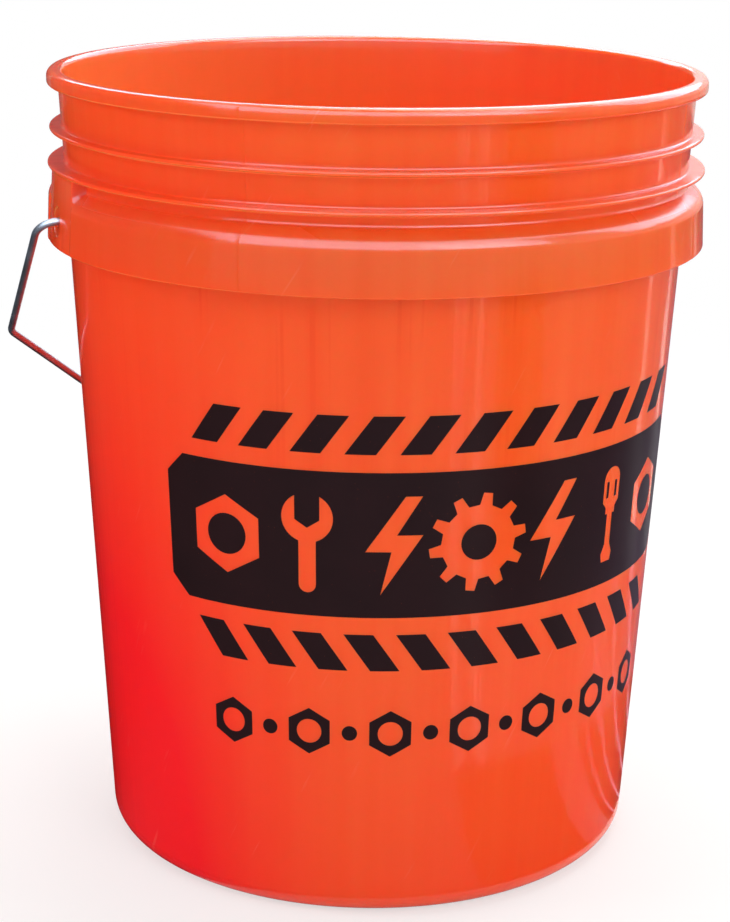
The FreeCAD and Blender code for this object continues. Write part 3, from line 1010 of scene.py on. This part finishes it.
# Painted shade: the outside is also painted redder towards the foot, where less light falls.
lowness = add(tree, "MapRange", in0=xyz["Z"], in1=HEIGHT * MM, in2=0.0)
left_weight = add(tree, "MapRange", in0=lowness, in2=0.8, in3=0.25)
left_painted_shade = add(tree, "Math", TIMES, in0=leftness, in1=left_weight)
low_square = add(tree, "Math", {"operation": "POWER"}, in0=lowness, in1=2.0)
low_painted_shade = add(tree, "Math", TIMES, in0=low_square, in1=LOW_PAINTED_SHADE)
redder = add(tree, "Math", {**PLUS, "use_clamp": True}, in0=left_painted_shade, in1=low_painted_shade)
normal = add(tree, "NewGeometry", out="Normal")
outward = add(tree, "VectorMath", DOT, "Value", in0=normal, in1=place)
outside = add(tree, "MapRange", in0=outward, in1=-0.02, in2=0.05)
outer_painted_shade = add(tree, "Math", TIMES, in0=redder, in1=outside)
# Inside, the left wall gets painted light as a paler resin, and the right wall gets painted shade as a
# rosier one.
inside = add(tree, "MapRange", in0=outside, in3=1.0, in4=0.0)
inner_painted_light_side = add(tree, "MapRange", in0=red_way, in1=-1.0, in4=0.62)
inner_painted_light = add(tree, "Math", TIMES, in0=inside, in1=inner_painted_light_side)
resin_with_inner_light = add(tree, "Mix", BLEND, BLENDED, in0=inner_painted_light, in6=lined_with_dark_reflection, in7=colour("#F58C50"))
inner_painted_shade_side = add(tree, "MapRange", in0=red_way, in1=0.4, in2=-0.8, in4=0.2)
inner_painted_shade = add(tree, "Math", TIMES, in0=inside, in1=inner_painted_shade_side)
resin_with_inner_shade = add(tree, "Mix", BLEND, BLENDED, in0=inner_painted_shade, in6=resin_with_inner_light, in7=colour("#F0284C"))
# The redder resin is the painted shade on the outside.
resin_with_painted_shade = add(tree, "Mix", BLEND, BLENDED, in0=outer_painted_shade, in6=resin_with_inner_shade, in7=colour("#F01E24"))
print("reddest towards", SHADED_OUTER_SIDE[:2], "and at the foot")

# %% [markdown]
# ## Gloss, ripples and scuffs
# The mould is polished, so the gloss is high. Upright ripples and a fine orange peel break it,
# and so do the slanting scuffs of pails pulled out of a stack. The ledge that a pail hangs by
# in the stack is rubbed duller. A scuff is a dent, a rougher place and a whitened colour at
# once, so one pattern drives all three instead of three that don't meet.

# %% Scuffs
SCRATCH_MM = 3.6  # a real one is a hair wide, and is drawn coarser here so that it shows
SCRATCH_LEAN = math.radians(28)
SCRATCH_STRETCH = 14.0
SCRATCH_WHITENING = 0.09
PATCH_MM = 28.0
slanted = add(
    tree,
    "Mapping",
    {"vector_type": "TEXTURE"},
    Vector=unrolled,
    Rotation=(0.0, SCRATCH_LEAN, 0.0),
    Scale=(1.0, 1.0, SCRATCH_STRETCH),
)
scratches = add(tree, "TexNoise", Vector=slanted, Scale=per_metre(SCRATCH_MM), Detail=2.0, Roughness=0.6)
scratch_lines = add(tree, "MapRange", in0=scratches, in1=0.65, in2=0.71)
patches = add(tree, "TexNoise", Vector=place, Scale=per_metre(PATCH_MM), Detail=1.0)
in_patch = add(tree, "MapRange", in0=patches, in1=0.52, in2=0.64)
scratch_share = add(tree, "Math", TIMES, in0=scratch_lines, in1=in_patch)
scratch_white = add(tree, "Math", TIMES, in0=scratch_share, in1=SCRATCH_WHITENING)
scuffed_resin = add(tree, "Mix", BLEND, BLENDED, in0=scratch_white, in6=resin_with_painted_shade, in7=colour("#FFB49A"))
print("scuffs", SCRATCH_MM, "mm apart in patches", PATCH_MM, "mm across")

# %% Gloss and ripples
PEEL_MM = 1.6  # real orange peel is about 0.5 mm, and is drawn coarser here so that it shows
GLOSS = (0.09, 0.14)  # roughness of the best and the dullest clouds
SCRATCH_DULLING = 0.12
LEDGE_DULLING = 0.16
peel = add(tree, "TexNoise", Vector=place, Scale=per_metre(PEEL_MM), Detail=2.0, Roughness=0.5)
surface = add(tree, "Bump", Strength=0.6, Distance=0.0004, Height=streaks)
surface = add(tree, "Bump", Strength=0.25, Distance=0.00005, Height=peel, Normal=surface)
surface = add(
    tree, "Bump", {"invert": True}, Strength=0.3, Distance=0.00003, Height=scratch_share, Normal=surface
)
gloss = add(tree, "MapRange", in0=clouds, in1=0.3, in2=0.7, in3=GLOSS[0], in4=GLOSS[1])
scuffed = add(tree, "MapRange", in0=scratch_share, in4=SCRATCH_DULLING)
facing = add(tree, "SeparateXYZ", out=None, Vector=normal).outputs
ledges = add(tree, "MapRange", in0=facing["Z"], in1=0.3, in2=0.7, in4=LEDGE_DULLING)
under_rings = add(tree, "Math", BELOW, in0=xyz["Z"], in1=(SHOULDER_ROOT + 1) * MM)
rubbed = add(tree, "Math", TIMES, in0=ledges, in1=under_rings)
marked = add(tree, "Math", PLUS, in0=gloss, in1=scuffed)
roughness = add(tree, "Math", PLUS, in0=marked, in1=rubbed)
shader = add(
    tree,
    "BsdfPrincipled",
    Base_Color=scuffed_resin,
    Roughness=roughness,
    IOR=1.5,
    Normal=surface,
    Subsurface_Weight=1.0,
    Subsurface_Radius=(1.0, 0.12, 0.05),
    Subsurface_Scale=0.003,
)
add(tree, "OutputMaterial", Surface=shader)
dress(pail_plastic, [pail_shell, gussets])

# %% [markdown]
# ## Screen ink
# The ink is a black vinyl film, about a tenth of a millimetre as drawn here and a third of
# that on a real pail. It dries satin, smoother than the plastic's ripples but following them.
# It isn't quite black: pigment thinned over orange reads as a very dark brown. A few pinholes
# show where the mesh of the screen was blocked. All of this is small and scattered, so noise
# and cells draw it better than a picture would.

# %% The ink's material
MOTTLE_MM = 30.0
PINHOLE_MM = 2.5
SCREEN_MM = 0.8  # a real screen has about eight threads in this, and is drawn coarser so that it shows
print_ink, tree = new_material("screen_printed_black_ink")
place = add(tree, "TexCoord", out="Object")
mottle = add(tree, "TexNoise", Vector=place, Scale=per_metre(MOTTLE_MM), Detail=3.0)
specks = add(tree, "TexVoronoi", out="Distance", Vector=place, Scale=per_metre(PINHOLE_MM), Randomness=1.0)
screen_grain = add(tree, "TexNoise", Vector=place, Scale=per_metre(SCREEN_MM), Detail=1.0)
pinholes = add(tree, "MapRange", in0=specks, in1=0.03, in2=0.05, in3=1.0, in4=0.0)
black = add(tree, "Mix", BLEND, BLENDED, in0=mottle, in6=colour("#2A1417"), in7=colour("#1F1012"))
pierced = add(tree, "Mix", BLEND, BLENDED, in0=pinholes, in6=black, in7=colour("#8A3A20"))
bump = add(tree, "Bump", Strength=0.2, Distance=0.00004, Height=screen_grain)
shader = add(
    tree, "BsdfPrincipled", Base_Color=pierced, Roughness=0.3, IOR=1.5, Specular_IOR_Level=0.15, Normal=bump
)
add(tree, "OutputMaterial", Surface=shader)
dress(print_ink, ink_films)

# %% [markdown]
# ## Galvanised wire
# The wire is drawn steel with a thin bright coat of zinc. Drawing leaves fine lines along it,
# and zinc dulls unevenly, so the gloss comes and goes. A plain grey paint would stay flat as
# the bail swings. It is a metal, so its colour is in its reflection: metallic is 1 and the IOR
# is left alone.

# %% The wire's material
SPANGLE_MM = 9.0
DRAWING_MM = 0.7  # real drawing lines are under 0.1 mm, and are drawn coarser so that they show
zinc_wire, tree = new_material("zinc_plated_drawn_steel")
place = add(tree, "TexCoord", out="Object")
spangle = add(tree, "TexNoise", Vector=place, Scale=per_metre(SPANGLE_MM), Detail=4.0, Roughness=0.6)
grain = add(tree, "TexNoise", Vector=place, Scale=per_metre(DRAWING_MM), Detail=2.0)
zinc = add(tree, "Mix", BLEND, BLENDED, in0=spangle, in6=colour("#B2B4BA"), in7=colour("#D0D2D8"))
dull = add(tree, "MapRange", in0=spangle, in1=0.3, in2=0.7, in3=0.38, in4=0.5)
bump = add(tree, "Bump", Strength=0.3, Distance=0.00004, Height=grain)
shader = add(tree, "BsdfPrincipled", Base_Color=zinc, Metallic=1.0, Roughness=dull, Normal=bump)
add(tree, "OutputMaterial", Surface=shader)
dress(zinc_wire, [bail_wire])

# %% [markdown]
# ## Black polyethylene grip
# The grip is the same plastic as the pail, but black and from a spark-eroded mould, so it is
# satin, with a fine even grain that the hand rubs smoother in places. The grain could be
# modelled, but it is finer than any face, so cells in the bump stand for it.

# %% The grip's material
SPARK_MM = 0.9  # a real spark-eroded grain is about 0.2 mm, and is drawn coarser so that it shows
HAND_MM = 18.0
grip_plastic, tree = new_material("moulded_black_polyethylene")
place = add(tree, "TexCoord", out="Object")
grain = add(tree, "TexVoronoi", out="Distance", Vector=place, Scale=per_metre(SPARK_MM), Randomness=1.0)
handled = add(tree, "TexNoise", Vector=place, Scale=per_metre(HAND_MM), Detail=3.0)
black = add(tree, "Mix", BLEND, BLENDED, in0=handled, in6=colour("#17171A"), in7=colour("#222226"))
satin = add(tree, "MapRange", in0=handled, in1=0.35, in2=0.65, in3=0.36, in4=0.5)
bump = add(tree, "Bump", Strength=0.35, Distance=0.00008, Height=grain)
shader = add(tree, "BsdfPrincipled", Base_Color=black, Roughness=satin, IOR=1.5, Normal=bump)
add(tree, "OutputMaterial", Surface=shader)
dress(grip_plastic, [hand_grip])

# %% [markdown]
# ## The floor
# A catalogue picture is taken on a white sweep. A curved one would need its own mesh, so this
# is a flat matt floor that takes the pail's shadow. To the camera it is partly a plain white
# surface near the pail, and wholly so further off, so that no horizon shows.

# %% Floor
FLOOR_SIZE = 30.0
SHADOW_REACH = 0.55
NEAR_WHITE = 0.6  # share of plain white close to the pail
floor_corners = [Vector((x, y, 0)) / MM for x, y in ((-1, -1), (1, -1), (1, 1), (-1, 1))]
floor = mesh_piece("floor", floor_corners, [(0, 1, 2, 3)])
floor.scale = (FLOOR_SIZE, FLOOR_SIZE, 1)
sweep, tree = new_material("matt_white_sweep")
place = add(tree, "NewGeometry", out="Position")
distance = add(tree, "VectorMath", {"operation": "LENGTH"}, "Value", in0=place)
away = add(
    tree,
    "MapRange",
    {"interpolation_type": "SMOOTHSTEP"},
    in0=distance,
    in1=SHADOW_REACH / 2,
    in2=2.2 * SHADOW_REACH,
    in3=NEAR_WHITE,
)
camera_ray = add(tree, "LightPath", out="Is Camera Ray")
seen = add(tree, "Math", TIMES, in0=away, in1=camera_ray)
paper = add(tree, "BsdfDiffuse", Color=colour("#F4F3F1"))
white = add(tree, "Emission", Color=(1.0, 1.0, 1.0, 1.0), Strength=1.0)
mixed = add(tree, "MixShader", in0=seen, in1=paper, in2=white)
add(tree, "OutputMaterial", Surface=mixed)
dress(sweep, [floor])

# %% [markdown]
# ## The room
# A white room fills the shadows and is the background too. One strength can't do both: white
# enough to be a background, it would burn out the orange. So the light path decides, and the
# camera, the gloss and anything clear see full white, while the matt light is weaker.

# %% World
WORLD_LIGHT = 0.65
world = bpy.data.worlds.new("studio")
bpy.context.scene.world = world
world.use_nodes = True
tree = world.node_tree
tree.nodes.clear()
rays = add(tree, "LightPath", out=None).outputs
seen = rays["Is Camera Ray"]
for ray in ("Is Glossy Ray", "Is Transmission Ray"):
    seen = add(tree, "Math", {"operation": "MAXIMUM"}, in0=seen, in1=rays[ray])
room = add(tree, "Background", Color=(1.0, 1.0, 1.0, 1.0), Strength=WORLD_LIGHT)
backdrop = add(tree, "Background", Color=(1.0, 1.0, 1.0, 1.0), Strength=1.0)
mixed = add(tree, "MixShader", in0=seen, in1=room, in2=backdrop)
add(tree, "OutputWorld", Surface=mixed)
bpy.context.scene.view_settings.view_transform = "Standard"
print("room light:", WORLD_LIGHT)

# %% [markdown]
# ## The camera
# The pail is seen a little from its left and from above, by a long lens about a metre off.
# Its ellipses fix the tilt and the distance: the mouth looks rounder than a low camera would
# show it, and the foot narrower than a far one would. A tracking constraint would hide these
# values, so the turns are written out, from the stand outwards.

# %% Camera
VIEW_TURN = -20.0  # degrees round from the front
CAMERA_DISTANCE = 1.05428
CAMERA_HEIGHT = 0.48096
CAMERA_TILT = 16.05
CAMERA_PAN = -0.18
CAMERA_ROLL = 0.78
SENSOR = 36.0  # millimetres along the frame's long side
FOCAL_LENGTH = 88.813

camera_data = bpy.data.cameras.new("camera")
camera = bpy.data.objects.new("camera", camera_data)
bpy.context.scene.collection.objects.link(camera)
bpy.context.scene.camera = camera
camera_data.sensor_fit = "AUTO"
camera_data.sensor_width = SENSOR
camera_data.lens = FOCAL_LENGTH
turn = Matrix.Rotation(math.radians(VIEW_TURN), 4, "Z")
stand = Matrix.Translation((0, -CAMERA_DISTANCE, CAMERA_HEIGHT))
pan = Matrix.Rotation(math.radians(-CAMERA_PAN), 4, "Z")
tilt = Matrix.Rotation(math.radians(90 - CAMERA_TILT), 4, "X")
roll = Matrix.Rotation(math.radians(CAMERA_ROLL), 4, "Z")
camera.matrix_world = turn @ stand @ pan @ tilt @ roll
print("focal length", round(camera_data.lens, 1), "mm on a", SENSOR, "mm tall frame")

# %% [markdown]
# ## The lamps
# Small lamps would leave hard glints on the gloss, so each is a softbox wider than the pail is
# tall. The key is to the right of the camera, one hangs overhead, and one fills each side. The
# fills would show as bright windows in the gloss, so gloss doesn't see them. The right one
# stands low, where it doesn't shine into the mouth.

# %% Lights


def softbox(name, turn_degrees, distance, height, size, aim_height, energy):
    """A square area light round the pail, aimed at its axis. The turn is measured from the camera."""
    data = bpy.data.lights.new(name, "AREA")
    data.shape = "RECTANGLE"
    data.size, data.size_y = size
    data.energy = energy
    lamp = bpy.data.objects.new(name, data)
    bpy.context.scene.collection.objects.link(lamp)
    angle = math.radians(VIEW_TURN + turn_degrees)
    lamp.location = (distance * math.sin(angle), -distance * math.cos(angle), height)
    lamp.rotation_euler = (Vector((0, 0, aim_height)) - lamp.location).to_track_quat("-Z", "Y").to_euler()
    return lamp


lamps = [
    # name, turn, distance, height, size, height aimed at, watts
    softbox("key", 35.0, 1.7, 1.3, (1.0, 1.0), 0.2, 8.5),
    softbox("overhead", 150.0, 0.5, 1.7, (1.2, 1.2), 0.3, 20.0),
]
fills = [
    softbox("left_fill", -80.0, 1.8, 0.9, (0.8, 1.2), 0.2, 9.0),
    softbox("right_fill", 120.0, 1.8, 0.35, (0.8, 0.6), 0.2, 4.7),
]
for lamp in fills:
    lamp.visible_glossy = False
print("lamps:", ", ".join(lamp.name for lamp in lamps + fills))

# %% [markdown]
# ## Cards for the gloss
# A glossy pail is a mirror of the room, and in an all-white room it would look chalky. So in
# a studio cards stand round it: black ones keep the orange deep, grey and lilac ones give soft
# pale bands, strips of tape give thin curved lines, and lit ones put the white lines on the
# rim, the rings and the shoulder. A finished picture of a room would do it too, but cards can
# be placed one by one. The upright walls mirror the floor, so most cards lie there in three
# rings. Only gloss sees them.

# %% The cards' places
FLAT = 0.001  # height of the cards that lie on the floor
RAISED = 0.002  # height of the tape that lies on them
NEAR, MIDDLE, FAR = 0.25, 0.45, 2.5
FOOT = None  # this near edge follows the pail's foot
FOOT_RING = ((FOOT, FLAT), (NEAR, FLAT))  # radius and height of a card's near and far edge
NEAR_RING = ((NEAR, FLAT), (MIDDLE, FLAT))
FAR_RING = ((MIDDLE, FLAT), (FAR, FLAT))
CARDS = {  # from and to, in degrees round from the camera, then the two edges
    "graded_floor_card": [(-178, 28, (FOOT, FLAT), (FAR, FLAT))],
    "matt_black_card": [(28, 64, *FOOT_RING), (43, 62, *FAR_RING), (-180, 180, (0.001, 2.0), (0.7, 2.0))],
    "dark_wall_card": [(-150, -55, (2.4, FLAT), (2.4, 3.6)), (-179, -150, (1.8, FLAT), (1.8, 0.85))],
    "matt_grey_card": [(60, 84, *NEAR_RING), (30, 35, *FAR_RING), (38, 43, *FAR_RING), (62, 84, *FAR_RING)],
    "pale_lilac_card": [
        (30, 35, *NEAR_RING),
        (38, 60, *NEAR_RING),
        (64, 78, *FOOT_RING),
        (84, 100, *NEAR_RING),
    ],
    "deep_lilac_card": [(78, 168, *FOOT_RING)],
    "lilac_tape": [
        (82, 83, (FOOT, RAISED), (NEAR, RAISED)),
        (91, 92.2, (FOOT, RAISED), (0.4, RAISED)),
        (104, 105.5, (FOOT, RAISED), (0.6, RAISED)),
        (121, 123, (FOOT, RAISED), (0.6, RAISED)),
    ],
    "dark_lilac_card": [
        (100, 168, *NEAR_RING),
        (84, 118, *FAR_RING),
        (121, 140, *FAR_RING),
        (143, 168, *FAR_RING),
    ],
    "lit_white_card": [
        (95, 180, (1.7, 0.72), (1.7, 2.2)),
        (180, 210, (1.7, 0.95), (1.7, 2.2)),
        (-48, 62, (2.2, 0.85), (1.0, 2.6)),
        (-58, -48, (2.0, 1.2), (1.0, 2.6)),
        (-70, -58, (1.7, 1.6), (1.0, 2.6)),
        (-100, -70, (1.4, 2.0), (1.0, 2.6)),
        (62, 110, (1.4, 2.0), (1.0, 2.6)),
    ],
}
CARD_COLOURS = {
    "matt_black_card": "#1A1A1A",
    "dark_wall_card": "#605C60",
    "matt_grey_card": "#7C7F88",
    "pale_lilac_card": "#908494",
    "deep_lilac_card": "#3C343E",
    "lilac_tape": "#D8C8E8",
    "dark_lilac_card": "#665E72",
}
CARD_LIGHT = 6.0
COOL_WHITE = (0.62, 0.82, 1.0, 1.0)
GRADE = (-95.0, -15.0)  # degrees round from the camera: the graded card is black at one, grey at the other
FOOT_EDGE = 0.118
FOOT_EDGE_STEP = 0.0145


def foot_edge(turn):
    """Radius of the floor cards' near edge: close under the pail on the left, further out in front."""
    return FOOT_EDGE + FOOT_EDGE_STEP * smooth_step(-60, 0, turn)


print("strips of card:", sum(len(strips) for strips in CARDS.values()), "in", len(CARDS), "tones")

# %% Make the cards
CARD_STEP = 4.0  # degrees between a strip's points


def card_mesh(name, cards):
    """Strips round the pail, each swept from its first turn to its last."""
    vertices, faces = [], []
    for start, end, near, far in cards:
        steps = max(1, round((end - start) / CARD_STEP))
        first = len(vertices)
        for k in range(steps + 1):
            turn = start + (end - start) * k / steps
            a = math.radians(VIEW_TURN + turn)
            for r, z in (near, far):
                r = foot_edge(turn) if r is FOOT else r
                vertices.append(Vector((r * math.sin(a), -r * math.cos(a), z)) / MM)
        for corner_here in range(first, first + 2 * steps, 2):
            faces.append((corner_here, corner_here + 1, corner_here + 3, corner_here + 2))
    card = mesh_piece(name, vertices, faces)
    card.visible_camera = False
    card.visible_diffuse = False
    card.visible_shadow = False
    card.visible_transmission = False
    return card


def graded_colour(tree):
    """From black on the left to grey in front, by the turn round the pail."""
    way = add(tree, "SeparateXYZ", out=None, Vector=add(tree, "NewGeometry", out="Position")).outputs
    forward = add(tree, "Math", TIMES, in0=way["Y"], in1=-1.0)
    turn = add(tree, "Math", {"operation": "ARCTAN2"}, in0=way["X"], in1=forward)
    left, front = (math.radians(VIEW_TURN + degrees) for degrees in GRADE)
    share = add(tree, "MapRange", in0=turn, in1=left, in2=front)
    black, grey = colour(CARD_COLOURS["matt_black_card"]), colour(CARD_COLOURS["matt_grey_card"])
    return add(tree, "Mix", BLEND, BLENDED, in0=share, in6=black, in7=grey)


for tone, cards in CARDS.items():
    card_paper, tree = new_material(tone)
    if tone == "lit_white_card":
        face = add(tree, "Emission", Color=COOL_WHITE, Strength=CARD_LIGHT)
    else:
        tint = colour(CARD_COLOURS[tone]) if tone in CARD_COLOURS else graded_colour(tree)
        face = add(tree, "BsdfDiffuse", Color=tint)
    add(tree, "OutputMaterial", Surface=face)
    dress(card_paper, [card_mesh(tone + "s", cards)])
